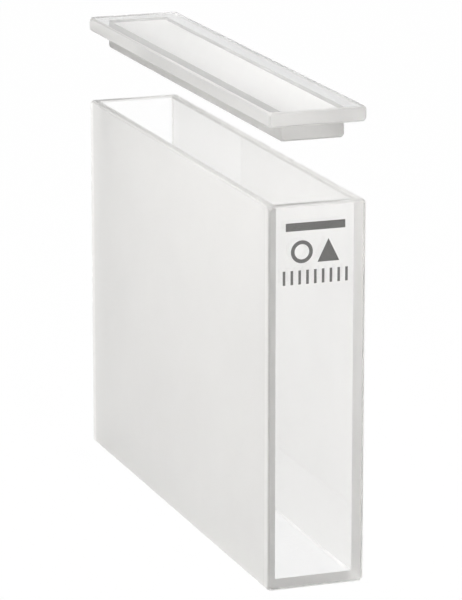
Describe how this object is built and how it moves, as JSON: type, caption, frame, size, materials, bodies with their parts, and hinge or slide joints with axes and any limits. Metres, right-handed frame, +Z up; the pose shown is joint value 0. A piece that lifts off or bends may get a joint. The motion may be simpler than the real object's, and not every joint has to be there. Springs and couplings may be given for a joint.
{
  "type": "cuvette",
  "caption": "Large rectangular glass cell for long light paths: polished end windows, frosted side walls, open top and a loose stepped lid that drops into the mouth.",
  "frame": {"origin": "middle of the face that the cell stands on", "axes": "+Z up through the mouth, Y along the light path with the front window at -Y, X across the cell"},
  "size_m": [0.0186, 0.104, 0.0889],
  "materials": {
    "polished_quartz": "polished, clear, with ground edges",
    "ground_quartz": "ground, frosted",
    "lid_quartz": "clear top, ground edges"
  },
  "bodies": {
    "cell": {"front_window": "polished_quartz", "back_window": "polished_quartz", "left_wall": "ground_quartz", "right_wall": "ground_quartz", "base_plate": "polished_quartz"},
    "lid": {"lid_cover": "lid_quartz", "lid_plug": "ground_quartz"}
  },
  "joints": [
    {"name": "lid_lift", "type": "slide", "parent": "cell", "child": "lid", "axis": [0, 0, 1], "range_m": [-0.0143, 0]}
  ]
}
